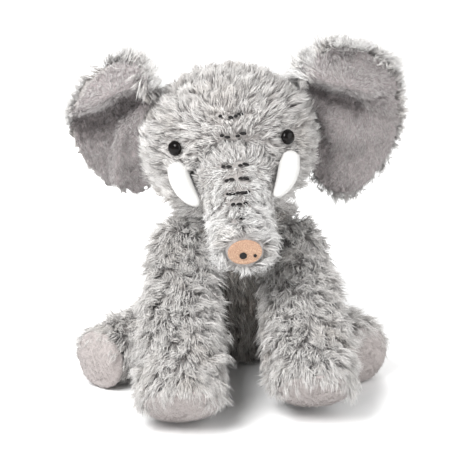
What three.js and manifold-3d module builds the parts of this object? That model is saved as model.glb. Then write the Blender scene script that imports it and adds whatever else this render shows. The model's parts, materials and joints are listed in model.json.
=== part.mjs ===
// A sitting plush elephant, modelled as the pieces that it is sewn and filled from.
// Millimetres, +Z up. It faces -Y and its own left side is +X. Z = 0 is the surface it sits on.
import * as THREE from "three";
import { mergeVertices } from "three/addons/utils/BufferGeometryUtils.js";
import Module from "manifold-3d";

const wasm = await Module();
wasm.setup();

// Driving dimensions
const gap = 0.4;
const cloth = 2.6;
const headSize = { wide: 67, deep: 57, tall: 57 };
const headCentre = [0, -33, 188];
const headLean = 5.2;
const neck = { at: [0, -24, 121], radius: 24 };
const trunk = { at: [0, -80, 165], radius: 30, length: 82, tip: 16.5, slope: 36, bendFrom: 14, bendRadius: 150 };
const snout = { wide: 13, tall: 10.2, thick: 2.2 };
const eye = { spacing: 85, height: 195.5, radius: 6, post: 2.1, postLength: 9 };
const washer = { radius: 6, thick: 1.6 };
const foreleg = { spacing: 90, root: 22.5, middle: 29, foot: 30, soleTilt: 50, pitch: 30 };
const hindleg = { root: 27, foot: 24.5, length: 95 };
const pad = 3.2;
const seat = { wide: 34, height: 127.5 };
const tail = { at: [0, 42, 40], length: 36, radius: 4.5, bendFrom: 6, bendRadius: 60 };
const earThickness = { back: 5, lining: 3.4 };

const group = new THREE.Group();
group.name = "plush_elephant";

const fur = { color: 0xb4aeab, roughness: 0.95, metalness: 0 };
const velour = { color: 0x9f9294, roughness: 0.9, metalness: 0 };
const fill = { color: 0xf2efe8, roughness: 1, metalness: 0 };
const beans = { color: 0xd9cbb0, roughness: 0.9, metalness: 0 };
const felt = { color: 0xf4f2ec, roughness: 0.8, metalness: 0 };
const peach = { color: 0xe3b39a, roughness: 0.85, metalness: 0 };
const gloss = { color: 0x0c0a0a, roughness: 0.15, metalness: 0 };
const clear = { color: 0xd8d8d4, roughness: 0.4, metalness: 0 };
const thread = { color: 0x2f2a2a, roughness: 0.8, metalness: 0 };

// Solids and geometries

function toSolid(geometry) {
  const plain = geometry.clone();
  plain.deleteAttribute("normal");
  plain.deleteAttribute("uv");
  const merged = mergeVertices(plain, 1e-3);
  const index = [];
  for (let i = 0; i < merged.index.count; i += 3) {
    const [a, b, c] = [merged.index.getX(i), merged.index.getX(i + 1), merged.index.getX(i + 2)];
    if (a !== b && b !== c && a !== c) {
      index.push(a, b, c);
    }
  }
  const mesh = new wasm.Mesh({
    numProp: 3,
    vertProperties: new Float32Array(merged.attributes.position.array),
    triVerts: new Uint32Array(index),
  });
  return new wasm.Manifold(mesh);
}

function toGeometry(solid) {
  const mesh = solid.getMesh();
  const geometry = new THREE.BufferGeometry();
  geometry.setAttribute("position", new THREE.BufferAttribute(new Float32Array(mesh.vertProperties), 3));
  geometry.setIndex(new THREE.BufferAttribute(new Uint32Array(mesh.triVerts), 1));
  geometry.computeVertexNormals();
  return geometry;
}

// Keeps the largest body of a cut solid, so that no sliver is left beside it.
function largest(solid) {
  const bodies = solid.decompose();
  bodies.sort((a, b) => b.volume() - a.volume());
  return bodies[0];
}

function add(name, solid, look) {
  const mesh = new THREE.Mesh(toGeometry(largest(solid.simplify(0.08))), new THREE.MeshStandardMaterial(look));
  mesh.name = name;
  group.add(mesh);
}

function radians(degrees) {
  return (degrees * Math.PI) / 180;
}

function deform(geometry, move) {
  const position = geometry.attributes.position;
  const point = new THREE.Vector3();
  for (let i = 0; i < position.count; i++) {
    point.fromBufferAttribute(position, i);
    move(point);
    position.setXYZ(i, point.x, point.y, point.z);
  }
  return geometry;
}

function ball(centre, wide, deep = wide, tall = wide, columns = 16, rows = 10) {
  const geometry = new THREE.SphereGeometry(1, columns, rows);
  geometry.rotateX(Math.PI / 2);
  geometry.scale(wide, deep, tall);
  geometry.translate(...centre);
  return toSolid(geometry);
}

// Points [radius, height] spun about +Z. The first and last radius are zero.
function spun(points, columns = 16) {
  const geometry = new THREE.LatheGeometry(points.map(([r, h]) => new THREE.Vector2(r, h)), columns);
  return geometry.rotateX(Math.PI / 2);
}

// Stands a geometry's +Z along `forward` at `at`, with its +Y as near `up` as can be.
function stand(geometry, at, forward, up = [0, 0, 1]) {
  const z = new THREE.Vector3(...forward).normalize();
  const x = new THREE.Vector3(...up).cross(z).normalize();
  const y = new THREE.Vector3().crossVectors(z, x);
  const place = new THREE.Matrix4().makeBasis(x, y, z).setPosition(...at);
  return geometry.clone().applyMatrix4(place);
}

// Curves what lies beyond `start` along +Z toward +Y.
function bend(geometry, start, radius) {
  return deform(geometry, (p) => {
    if (p.z > start) {
      const turn = (p.z - start) / radius;
      const reach = radius - p.y;
      p.y = radius - reach * Math.cos(turn);
      p.z = start + reach * Math.sin(turn);
    }
  });
}

// Everything on the side of a plane that `normal` points to.
function beyond(point, normal, thick = 400) {
  const slab = new THREE.BoxGeometry(600, 600, thick);
  slab.translate(0, 0, thick / 2);
  const n = new THREE.Vector3(...normal).normalize();
  const up = Math.abs(n.z) > 0.9 ? [0, 1, 0] : [0, 0, 1];
  return toSolid(stand(slab, point, normal, up));
}

function turnAbout(solid, pivot, axis, degrees) {
  const spin = new THREE.Matrix4().makeRotationAxis(new THREE.Vector3(...axis).normalize(), radians(degrees));
  const move = new THREE.Matrix4().makeTranslation(...pivot);
  const back = new THREE.Matrix4().makeTranslation(-pivot[0], -pivot[1], -pivot[2]);
  return solid.transform(move.multiply(spin).multiply(back).elements);
}

function sweep(solid, pivot, axis, angles) {
  return angles.map((a) => turnAbout(solid, pivot, axis, a)).reduce((all, next) => all.add(next));
}

// The head and all that is sewn to it lean together about the neck.
function lean(solid) {
  return turnAbout(solid, neck.at, [0, -1, 0], headLean);
}

const floor = beyond([0, 0, 0.05], [0, 0, -1]);

// Legs

// A leg's outline from its round root to past its sole, `less` inside its outer surface.
function legProfile(shape, length, less, steps = 6) {
  const root = shape.root - less;
  const points = [];
  for (let i = 0; i <= steps; i++) {
    const turn = (i / steps) * Math.PI * 0.5;
    points.push([root * Math.sin(turn), -root * Math.cos(turn)]);
  }
  const middle = shape.middle ?? (shape.root + shape.foot) / 2;
  points.push([middle - less, length * 0.5]);
  points.push([shape.foot - less, length * 0.86]);
  points.push([shape.foot - less, length * 1.35]);
  points.push([0, length * 1.35]);
  return points;
}

function makeLeg(shape, at, forward, length, sole, soleNormal) {
  const layer = (less) => toSolid(stand(spun(legProfile(shape, length, less)), at, forward));
  const outer = layer(0).subtract(floor);
  const under = (up) => soleNormal.map((n, i) => sole[i] - n * up);
  const past = (up) => beyond(under(up), soleNormal);
  const cover = outer.subtract(layer(cloth)).subtract(past(pad + gap));
  const lining = layer(cloth + gap).subtract(beyond([0, 0, cloth + gap], [0, 0, -1]));
  const stuffing = lining.subtract(past(pad + 2 * gap));
  const solePad = outer.intersect(past(pad)).subtract(past(0));
  return { cover, stuffing, solePad, outer: outer.subtract(past(0)) };
}

function makeForeleg(side, rootY, length, footX) {
  const at = [(side * foreleg.spacing) / 2, rootY, 100];
  const pitch = radians(foreleg.pitch);
  const forward = [side * footX - at[0], -length * Math.cos(pitch), -length * Math.sin(pitch)];
  const sole = at.map((v, i) => v + forward[i]);
  const tilt = radians(foreleg.soleTilt);
  const parts = makeLeg(foreleg, at, forward, length, sole, [0, -Math.cos(tilt), -Math.sin(tilt)]);
  return { ...parts, at };
}

function makeHindleg(side, yaw, rootY) {
  const at = [side * 48, rootY, hindleg.root - 0.6];
  const forward = [side * Math.sin(radians(yaw)), -Math.cos(radians(yaw)), -0.025];
  const sole = at.map((v, i) => v + forward[i] * hindleg.length);
  const parts = makeLeg(hindleg, at, forward, hindleg.length, sole, forward);
  return { ...parts, at };
}

const legs = {
  right_foreleg: makeForeleg(-1, -42, 158, 49),
  left_foreleg: makeForeleg(1, -38, 148, 50),
  right_hindleg: makeHindleg(-1, 41, -14),
  left_hindleg: makeHindleg(1, 31, -4),
};

for (const [name, leg] of Object.entries(legs)) {
  add(`${name}_cover`, leg.cover, fur);
  add(`${name}_stuffing`, leg.stuffing, fill);
  add(`${name}_sole_pad`, leg.solePad, velour);
}

// Torso

// A pear with a flat seat, leaning forward as it rises.
function torsoLayer(less) {
  const outline = [
    [0, 0],
    [seat.wide, 0],
    [45, 8],
    [51, 28],
    [50, 48],
    [48, 72],
    [47.5, 92],
    [47, 106],
    [44.5, 117],
    [38, 124],
    [25, 127],
    [0, seat.height],
  ];
  const middle = 50;
  const shrunk = outline.map(([r, h]) => [Math.max(r - (r ? less : 0), 0), h + (less * (middle - h)) / middle]);
  const geometry = spun(shrunk, 18);
  return toSolid(
    deform(geometry, (p) => {
      const rise = Math.min(Math.max((p.z - 12) / 90, 0), 1);
      p.y = p.y * 0.9 - 24 * rise * rise * (3 - 2 * rise);
    }),
  );
}

// The space that the legs swing through, kept free in the torso.
function legClearance(grow, columns, stops) {
  const swing = { foreleg: [[-1, 0, 0], 30], hindleg: [[0, 0, 1], 24] };
  let room = null;
  for (const [name, leg] of Object.entries(legs)) {
    const side = name.startsWith("left") ? 1 : -1;
    const [axis, most] = swing[name.split("_")[1]];
    const turn = stops.map((stop) => stop * most * (name.endsWith("hindleg") ? side : 1));
    const swept = sweep(legEnvelope(name, leg, grow, columns), leg.at, axis, turn);
    room = room ? room.add(swept) : swept;
  }
  return room;
}

// A leg's outline grown on all sides, with few enough faces to keep the cuts simple.
function legEnvelope(name, leg, grow, columns) {
  const shape = name.endsWith("foreleg") ? foreleg : hindleg;
  const length = name.endsWith("foreleg") ? 150 : hindleg.length;
  const sole = leg.solePad.boundingBox();
  const centre = [0, 1, 2].map((i) => (sole.min[i] + sole.max[i]) / 2);
  const forward = centre.map((v, i) => v - leg.at[i]);
  return toSolid(stand(spun(legProfile(shape, length, -grow, 4), columns), leg.at, forward));
}

const neckSocket = ball(neck.at, neck.radius + 1.2, undefined, undefined, 14, 10);
const tailSocket = ball(tail.at, tail.radius + 1.2, undefined, undefined, 12, 8);
const legRoom = legClearance(2, 10, [0, 0.5, 1]);
const bagShape = [[0, cloth + gap], [14, cloth + gap], [17.5, 7], [18, 15], [15, 23], [9, 28], [0, 30]];
const bag = toSolid(spun(bagShape, 14));
const bagSpace = toSolid(spun([[0, -5], [19, -5], [19.2, 16], [15.8, 24.5], [9.5, 29.5], [0, 31.5]], 14));

add("torso_cover", torsoLayer(0).subtract(torsoLayer(cloth)).subtract(neckSocket).subtract(legRoom)
  .subtract(tailSocket), fur);
add("torso_stuffing", torsoLayer(cloth + gap).subtract(neckSocket).subtract(legClearance(3.5, 8, [0, 1]))
  .subtract(bagSpace)
  .subtract(ball(tail.at, tail.radius + 2, undefined, undefined, 12, 8)), fill);
add("seat_bean_bag", bag, beans);

// Tail

const tailWay = { forward: [0, 0.94, -0.34], up: [0, -0.34, -0.94] };

function makeTail() {
  const r = tail.radius;
  const outline = [[0, -r], [r * 0.7, -r * 0.7], [r, 0], [r * 0.9, 14], [r * 0.8, tail.length], [0, tail.length]];
  const cord = bend(spun(outline, 10), tail.bendFrom, tail.bendRadius);
  return toSolid(stand(cord, tail.at, tailWay.forward, tailWay.up));
}

function makeTuft() {
  const from = tail.length + gap;
  const outline = [[0, from], [5, from + 0.5], [7.5, from + 8], [6, from + 16], [2.5, from + 21], [0, from + 22]];
  const tuft = bend(spun(outline, 10), tail.bendFrom, tail.bendRadius);
  return toSolid(stand(tuft, tail.at, tailWay.forward, tailWay.up));
}

add("tail_cord", makeTail(), fur);
add("tail_tuft", makeTuft(), fur);

// Neck

add("neck_cover", ball(neck.at, neck.radius).subtract(ball(neck.at, neck.radius - cloth))
  .subtract(toSolid(new THREE.CylinderGeometry(10, 10, 60, 16).rotateX(Math.PI / 2)
    .translate(neck.at[0], neck.at[1], neck.at[2] + 30))), fur);
add("neck_stuffing", ball(neck.at, neck.radius - cloth - gap), fill);

// Trunk

function trunkDirections() {
  const slope = radians(trunk.slope);
  return { forward: [0, -Math.cos(slope), -Math.sin(slope)], up: [0, -Math.sin(slope), Math.cos(slope)] };
}

// The trunk narrows fastest near its root.
function trunkRadius(along) {
  const rest = 1 - Math.min(Math.max(along, 0) / trunk.length, 1);
  return trunk.tip + (trunk.radius - trunk.tip) * rest ** 1.25;
}

function trunkLayer(less, grow = 0, columns = 16) {
  const root = trunk.radius - less + grow;
  const outline = [];
  for (let i = 0; i <= 6; i++) {
    const turn = (i / 6) * Math.PI * 0.5;
    outline.push([root * Math.sin(turn), -root * Math.cos(turn)]);
  }
  for (const along of [20, 42, 64, trunk.length, trunk.length + 8]) {
    outline.push([trunkRadius(along) - less + grow, along]);
  }
  outline.push([0, trunk.length + 8]);
  const { forward, up } = trunkDirections();
  return toSolid(stand(bend(spun(outline, columns), trunk.bendFrom, trunk.bendRadius), trunk.at, forward, up));
}

// The centre and outward direction of the trunk's cut end.
function trunkEnd(length) {
  const mark = new THREE.BufferGeometry();
  mark.setAttribute("position", new THREE.Float32BufferAttribute([0, 0, length, 0, 0, length + 1], 3));
  const { forward, up } = trunkDirections();
  const placed = stand(bend(mark, trunk.bendFrom, trunk.bendRadius), trunk.at, forward, up).attributes.position;
  const at = [placed.getX(0), placed.getY(0), placed.getZ(0)];
  const next = [placed.getX(1), placed.getY(1), placed.getZ(1)];
  return { at, out: next.map((v, i) => v - at[i]) };
}

const end = trunkEnd(trunk.length);
const pastEnd = (up) => beyond(end.at.map((v, i) => v - end.out[i] * up), end.out);
const trunkOuter = trunkLayer(0).subtract(pastEnd(0));

// An oval plug through the trunk's end, `grow` larger than the felt patch that fills it.
function snoutPlug(grow, deep) {
  const plug = new THREE.CylinderGeometry(1, 1, 2 * deep, 28).rotateX(Math.PI / 2);
  plug.scale(snout.wide + grow, snout.tall + grow, 1);
  return toSolid(stand(plug, end.at, end.out));
}

const trunkCavity = trunkLayer(cloth).subtract(pastEnd(cloth)).add(snoutPlug(gap, cloth + 1));
add("trunk_cover", lean(trunkOuter.subtract(trunkCavity)), fur);
add("trunk_stuffing", lean(trunkLayer(cloth + gap).subtract(pastEnd(cloth + gap))), fill);
add("trunk_tip_patch", lean(snoutPlug(0, snout.thick).subtract(pastEnd(0))), peach);

function nostril(name, across, high, size) {
  const geometry = spun([[0, 0], [size, 0], [size * 0.8, 0.7], [0, 1]], 12);
  const rise = [0, end.out[2], -end.out[1]];
  const at = end.at.map((v, i) => v + end.out[i] * gap + rise[i] * high);
  at[0] += across;
  add(name, lean(toSolid(stand(geometry, at, end.out))), thread);
}
nostril("right_nostril", -1.5, -2.2, 2.8);
nostril("left_nostril", 7.2, -3, 1.3);

// Head

const headLayer = (less) => ball(headCentre, headSize.wide - less, headSize.deep - less, headSize.tall - less, 24, 14);

// The point of the head's surface straight in front of (x, z), and the direction out of it.
function onFace(x, z) {
  const dx = x / headSize.wide;
  const dz = (z - headCentre[2]) / headSize.tall;
  const y = headCentre[1] - headSize.deep * Math.sqrt(1 - dx * dx - dz * dz);
  const out = new THREE.Vector3(dx / headSize.wide, (y - headCentre[1]) / headSize.deep ** 2, dz / headSize.tall);
  return { at: [x, y, z], out: out.normalize().toArray() };
}

function makeEye(side) {
  const { at, out } = onFace((side * eye.spacing) / 2, eye.height);
  const r = eye.radius;
  const shank = [[0, -eye.postLength], [eye.post, -eye.postLength], [eye.post, 0.9], [r, 0.9]];
  const dome = [[r, 1.6], [r * 0.86, 3.4], [r * 0.55, 4.9], [0, 5.5]];
  const post = new THREE.CylinderGeometry(eye.post + gap, eye.post + gap, 40, 14).rotateX(Math.PI / 2);
  const ring = new THREE.CylinderGeometry(washer.radius, washer.radius, washer.thick, 14).rotateX(Math.PI / 2);
  ring.translate(0, 0, -cloth - 2 - washer.thick / 2);
  const pocket = new THREE.CylinderGeometry(washer.radius + gap, washer.radius + gap, 16, 14).rotateX(Math.PI / 2);
  pocket.translate(0, 0, -cloth - 4);
  return {
    eye: toSolid(stand(spun([...shank, ...dome], 14), at, out)),
    hole: toSolid(stand(post, at, out)),
    washer: toSolid(stand(ring, at, out)).subtract(toSolid(stand(post, at, out))),
    pocket: toSolid(stand(pocket, at, out)),
  };
}

function tuskLayer(side) {
  const outline = [[0, 0], [5.5, 0.8], [7.8, 4], [8.3, 14], [7.6, 24], [6, 33], [4, 39.5], [2, 42.6], [0, 43.5]];
  const shape = bend(spun(outline, 14), 6, 55);
  const forward = [-0.06 * side, -0.69, -0.74];
  const inward = [-0.75 * side, -0.1, 0.65];
  return toSolid(stand(shape, [side * 43, -74, 182], forward, inward));
}

const eyes = { left: makeEye(1), right: makeEye(-1) };
const tusks = { left: tuskLayer(1), right: tuskLayer(-1) };
const trunkMoves = sweep(trunkLayer(0, 1.6, 12), trunk.at, [-1, 0, 0], [-8, 6, 20]);
const holes = eyes.left.hole.add(eyes.right.hole);
const headNeck = ball(neck.at, neck.radius + 1.2, undefined, undefined, 14, 10);

// Ears

// A curved plate with a rounded outline: a flattened ball whose rim follows `outline` and whose
// middle sits back by `dish`. Each crease adds { from, to, width, rise } to the plate's surface.
function earPlate(ear, front, thick, inset) {
  const rim = new THREE.CatmullRomCurve3(ear.outline.map(([x, z]) => new THREE.Vector3(x, 0, z)), true);
  const rings = 8;
  const geometry = new THREE.SphereGeometry(1, 26, rings);
  geometry.rotateX(Math.PI / 2);
  const [cx, cz] = ear.centre;
  deform(geometry, (p) => {
    const polar = Math.acos(Math.min(Math.max(p.z, -1), 1));
    const around = (Math.atan2(p.y, p.x) / (2 * Math.PI) + 1) % 1;
    const step = Math.min(polar, Math.PI - polar) / (Math.PI / 2);
    const isFront = polar <= Math.PI / 2 + 1e-6;
    const edge = rim.getPoint(around);
    const onRim = step > 1 - 0.5 / rings;
    const reach = onRim ? 1 - inset / Math.hypot(edge.x - cx, edge.z - cz) : step;
    const x = cx + (edge.x - cx) * reach;
    const z = cz + (edge.z - cz) * reach;
    const atRim = onRim ? 0.5 : 0;
    const depth = isFront ? atRim * thick : thick - atRim * thick;
    const curve = onRim ? earDepth(ear, edge.x, edge.z, 1) : earDepth(ear, x, z, step);
    p.set(x, ear.rimY + front + depth + curve, z);
  });
  return toSolid(geometry);
}

function earDepth(ear, x, z, step) {
  let depth = ear.dish * (1 - step * step);
  for (const crease of ear.creases) {
    const [ax, az] = crease.from;
    const [bx, bz] = crease.to;
    const length = Math.hypot(bx - ax, bz - az);
    const along = ((x - ax) * (bx - ax) + (z - az) * (bz - az)) / length ** 2;
    const off = ((x - ax) * (bz - az) - (z - az) * (bx - ax)) / length / crease.width;
    const ends = Math.exp(-(Math.max(0, Math.abs(along - 0.5) - 0.5) ** 2) * 12);
    depth += crease.rise * Math.exp(-off * off) * ends;
  }
  return depth;
}

const ears = {
  right: {
    side: -1,
    centre: [-86, 206],
    outline: [
      [-52, 206], [-52, 240], [-64, 259], [-84, 261], [-104, 250], [-119, 232], [-124, 208],
      [-118, 184], [-104, 164], [-83, 152], [-64, 156], [-55, 176],
    ],
    rimY: -40,
    dish: 15,
    creases: [
      { from: [-122, 216], to: [-54, 240], width: 13, rise: -7 },
      { from: [-60, 208], to: [-84, 166], width: 8, rise: -7 },
    ],
    hinge: { from: [-58, -24, 168], to: [-46, -20, 240] },
  },
  left: {
    side: 1,
    centre: [94, 196],
    outline: [
      [137, 206], [130, 233], [112, 251], [88, 258], [64, 250], [52, 228],
      [54, 196], [57, 160], [70, 138], [92, 131], [116, 150], [132, 176],
    ],
    rimY: -42,
    dish: 13,
    creases: [
      { from: [60, 238], to: [112, 214], width: 10, rise: -8 },
      { from: [58, 222], to: [92, 196], width: 9, rise: 6 },
    ],
    hinge: { from: [58, -24, 160], to: [46, -20, 236] },
  },
};

const earTurns = [-10, 0, 10, 20];

function makeEar(ear, name) {
  const axis = ear.hinge.to.map((v, i) => (v - ear.hinge.from[i]) * ear.side);
  const room = sweep(headLayer(-1.2), ear.hinge.from, axis, earTurns.map((a) => -a));
  const lining = earPlate(ear, 0, earThickness.lining, 3);
  const bed = earPlate(ear, 0, earThickness.lining + gap, 2.4);
  const back = earPlate(ear, earThickness.lining + 3 * gap, earThickness.back, 0).subtract(bed);
  add(`${name}_ear_lining`, lean(lining.subtract(room)), velour);
  add(`${name}_ear_back`, lean(back.subtract(room)), fur);
}

makeEar(ears.right, "right");
makeEar(ears.left, "left");

const outerHead = headLayer(0).subtract(trunkMoves).subtract(headNeck);
add("head_cover", lean(outerHead.subtract(headLayer(cloth)).subtract(holes)), fur);
const pockets = eyes.left.pocket.add(eyes.right.pocket).add(holes);
add("head_stuffing", lean(headLayer(cloth + gap).subtract(ball(trunk.at, trunk.radius + 2.4, undefined, undefined, 14, 10))
  .subtract(headNeck).subtract(pockets)), fill);
for (const name of ["left", "right"]) {
  add(`${name}_eye`, lean(eyes[name].eye), gloss);
  add(`${name}_eye_washer`, lean(eyes[name].washer), clear);
  const clearOfTrunk = tusks[name].subtract(headLayer(-gap)).subtract(trunkMoves);
  add(`${name}_tusk`, lean(clearOfTrunk), felt);
}

// Stitched rows across the brow and down the trunk

function threadAlong(points, radius) {
  const path = new THREE.CatmullRomCurve3(points.map((p) => new THREE.Vector3(...p)));
  const section = new THREE.Shape();
  section.absarc(0, 0, radius, 0, Math.PI * 2);
  const options = { steps: 6, curveSegments: 3, bevelEnabled: false, extrudePath: path };
  return toSolid(new THREE.ExtrudeGeometry(section, options));
}

const browRows = [
  { z: 219, half: 11 },
  { z: 205, half: 12 },
];
browRows.forEach((row, i) => {
  const points = [-1, -0.5, 0, 0.5, 1].map((t) => {
    const { at, out } = onFace(t * row.half + 1, row.z - 2.5 * (1 - Math.abs(t)));
    return at.map((v, k) => v + out[k] * 1.4);
  });
  add(`brow_stitch_${i + 1}`, lean(threadAlong(points, 0.8)), thread);
});

// The trunk's upper surface at a distance along it, `across` from its middle.
function onTrunk(along, across) {
  const radius = trunkRadius(along) + 1.8;
  const mark = new THREE.BufferGeometry();
  const high = Math.sqrt(radius * radius - across * across);
  mark.setAttribute("position", new THREE.Float32BufferAttribute([across, high, along], 3));
  const { forward, up } = trunkDirections();
  const placed = stand(bend(mark, trunk.bendFrom, trunk.bendRadius), trunk.at, forward, up).attributes.position;
  return [placed.getX(0), placed.getY(0), placed.getZ(0)];
}

const trunkRows = [
  { along: 6, half: 13 },
  { along: 19, half: 11 },
  { along: 33, half: 11 },
  { along: 45, half: 7 },
];
trunkRows.forEach((row, i) => {
  const points = [-1, -0.5, 0, 0.5, 1].map((t) => onTrunk(row.along + 2.5 * (1 - Math.abs(t)), t * row.half));
  add(`trunk_stitch_${i + 1}`, lean(threadAlong(points, 0.8)), thread);
});
const seamPoints = [52, 60, 68, 76].map((along) => onTrunk(along, 0));
add("trunk_seam", lean(threadAlong(seamPoints, 0.8)), thread);

export default group;
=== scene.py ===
import json
import math
import bpy
import bmesh
import numpy as np
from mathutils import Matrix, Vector, kdtree


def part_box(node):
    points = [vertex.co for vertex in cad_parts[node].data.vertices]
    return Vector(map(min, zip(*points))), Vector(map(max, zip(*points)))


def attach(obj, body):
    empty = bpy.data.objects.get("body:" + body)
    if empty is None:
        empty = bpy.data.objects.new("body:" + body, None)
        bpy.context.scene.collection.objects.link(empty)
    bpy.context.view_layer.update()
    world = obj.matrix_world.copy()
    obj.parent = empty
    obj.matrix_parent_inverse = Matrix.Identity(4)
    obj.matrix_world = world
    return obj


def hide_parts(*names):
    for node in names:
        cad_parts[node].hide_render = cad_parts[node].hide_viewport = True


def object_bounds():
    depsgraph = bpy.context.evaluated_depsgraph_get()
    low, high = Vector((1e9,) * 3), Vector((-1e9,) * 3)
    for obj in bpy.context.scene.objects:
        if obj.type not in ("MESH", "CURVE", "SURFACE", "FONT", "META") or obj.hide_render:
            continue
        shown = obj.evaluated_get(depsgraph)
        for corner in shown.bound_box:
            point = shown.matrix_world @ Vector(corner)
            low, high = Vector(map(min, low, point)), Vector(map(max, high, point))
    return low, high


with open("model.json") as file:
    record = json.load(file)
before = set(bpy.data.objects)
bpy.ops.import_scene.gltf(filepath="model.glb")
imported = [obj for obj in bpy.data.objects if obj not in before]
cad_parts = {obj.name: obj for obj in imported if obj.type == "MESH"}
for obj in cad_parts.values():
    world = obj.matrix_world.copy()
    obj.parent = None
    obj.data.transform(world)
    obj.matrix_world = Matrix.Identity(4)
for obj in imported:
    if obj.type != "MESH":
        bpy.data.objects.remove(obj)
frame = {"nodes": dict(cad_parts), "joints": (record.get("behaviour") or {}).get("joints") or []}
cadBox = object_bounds()
mm = 0.001
bpy.ops.object.select_all(action="DESELECT")


def at(x, y, z):
    return Vector((x * mm, y * mm, z * mm))


# camera, lights and floor
view = {"azimuth": -3, "elevation": 16, "distance": 1200, "target": (-9, -100, 132.5), "lens": 123.6}
light = {"key": 17.5, "fill": 5.0, "rim": 6.0, "world": 0.5, "backdrop": 1.02, "floor": 0.93}


def addCamera():
    a, e = math.radians(view["azimuth"]), math.radians(view["elevation"])
    back = Vector((math.sin(a) * math.cos(e), -math.cos(a) * math.cos(e), math.sin(e)))
    target = at(*view["target"])
    bpy.ops.object.camera_add(location=target + back * view["distance"] * mm)
    camera = bpy.context.object
    camera.rotation_euler = (-back).to_track_quat("-Z", "Y").to_euler()
    camera.data.lens = view["lens"]
    camera.data.sensor_width = 36
    camera.data.clip_start = 0.05
    bpy.context.scene.camera = camera


def addLamp(name, place, size, power):
    bpy.ops.object.light_add(type="AREA", location=at(*place))
    lamp = bpy.context.object
    lamp.name = name
    lamp.data.shape = "DISK"
    lamp.data.size = size * mm
    lamp.data.energy = power
    aim = at(0, -30, 110) - lamp.location
    lamp.rotation_euler = aim.to_track_quat("-Z", "Y").to_euler()


def addStudio():
    world = bpy.data.worlds.new("studio")
    bpy.context.scene.world = world
    world.use_nodes = True
    tree = world.node_tree
    shade = tree.nodes["Background"]
    shade.inputs["Color"].default_value = (1, 1, 1, 1)
    shade.inputs["Strength"].default_value = light["world"]
    backdrop = tree.nodes.new("ShaderNodeBackground")  # what the camera sees behind the floor's edge
    backdrop.inputs["Color"].default_value = (1, 1, 1, 1)
    backdrop.inputs["Strength"].default_value = light["backdrop"]
    pick = tree.nodes.new("ShaderNodeMixShader")
    tree.links.new(tree.nodes.new("ShaderNodeLightPath").outputs["Is Camera Ray"], pick.inputs["Fac"])
    tree.links.new(shade.outputs["Background"], pick.inputs[1])
    tree.links.new(backdrop.outputs["Background"], pick.inputs[2])
    tree.links.new(pick.outputs["Shader"], tree.nodes["World Output"].inputs["Surface"])
    addLamp("key_lamp", (-480, -700, 850), 600, light["key"])
    addLamp("fill_lamp", (800, -500, 500), 900, light["fill"])
    addLamp("rim_lamp", (100, 700, 800), 600, light["rim"])
    bpy.ops.mesh.primitive_plane_add(size=12, location=(0, 0, 0))
    floor = bpy.context.object
    floor.name = "studio_floor"
    paint = bpy.data.materials.new("floor_white")
    paint.use_nodes = True
    skin = paint.node_tree.nodes["Principled BSDF"]
    skin.inputs["Base Color"].default_value = (light["floor"], light["floor"], light["floor"], 1)
    skin.inputs["Roughness"].default_value = 0.8
    tree = paint.node_tree
    away = tree.nodes.new("ShaderNodeVectorMath")  # the floor stays white far from the lamps
    away.operation = "LENGTH"
    tree.links.new(tree.nodes.new("ShaderNodeTexCoord").outputs["Object"], away.inputs[0])
    fade = tree.nodes.new("ShaderNodeMapRange")
    fade.inputs["From Min"].default_value = 0.25
    fade.inputs["From Max"].default_value = 0.9
    fade.inputs["To Max"].default_value = 0.75
    tree.links.new(away.outputs["Value"], fade.inputs["Value"])
    tree.links.new(fade.outputs["Result"], skin.inputs["Emission Strength"])
    skin.inputs["Emission Color"].default_value = (1, 1, 1, 1)
    floor.data.materials.append(paint)
    bpy.context.scene.view_settings.view_transform = "Standard"
    print("studio ready")


addCamera()
addStudio()


# shader groups shared by the cloths
def newGroup(name, inputs, outputs):
    group = bpy.data.node_groups.new(name, "ShaderNodeTree")
    for label, kind, value in inputs:
        socket = group.interface.new_socket(label, in_out="INPUT", socket_type=kind)
        socket.default_value = value
    for label, kind in outputs:
        group.interface.new_socket(label, in_out="OUTPUT", socket_type=kind)
    return group, group.nodes.new("NodeGroupInput"), group.nodes.new("NodeGroupOutput")


def mixColour(tree, factor, a, b, how="MIX"):
    mix = tree.nodes.new("ShaderNodeMix")
    mix.data_type = "RGBA"
    mix.blend_type = how
    for socket, value in ((mix.inputs[0], factor), (mix.inputs[6], a), (mix.inputs[7], b)):
        if isinstance(value, bpy.types.NodeSocket):
            tree.links.new(value, socket)
        else:
            socket.default_value = value
    return mix.outputs[2]


def ramp(tree, value, low, high):
    node = tree.nodes.new("ShaderNodeMapRange")
    node.inputs["From Min"].default_value = low
    node.inputs["From Max"].default_value = high
    node.interpolation_type = "SMOOTHSTEP"
    tree.links.new(value, node.inputs["Value"])
    return node.outputs["Result"]


def noise(tree, scale, detail=3, coords=None):
    node = tree.nodes.new("ShaderNodeTexNoise")
    node.inputs["Scale"].default_value = scale
    node.inputs["Detail"].default_value = detail
    if coords:
        tree.links.new(coords, node.inputs["Vector"])
    return node.outputs["Fac"]


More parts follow.
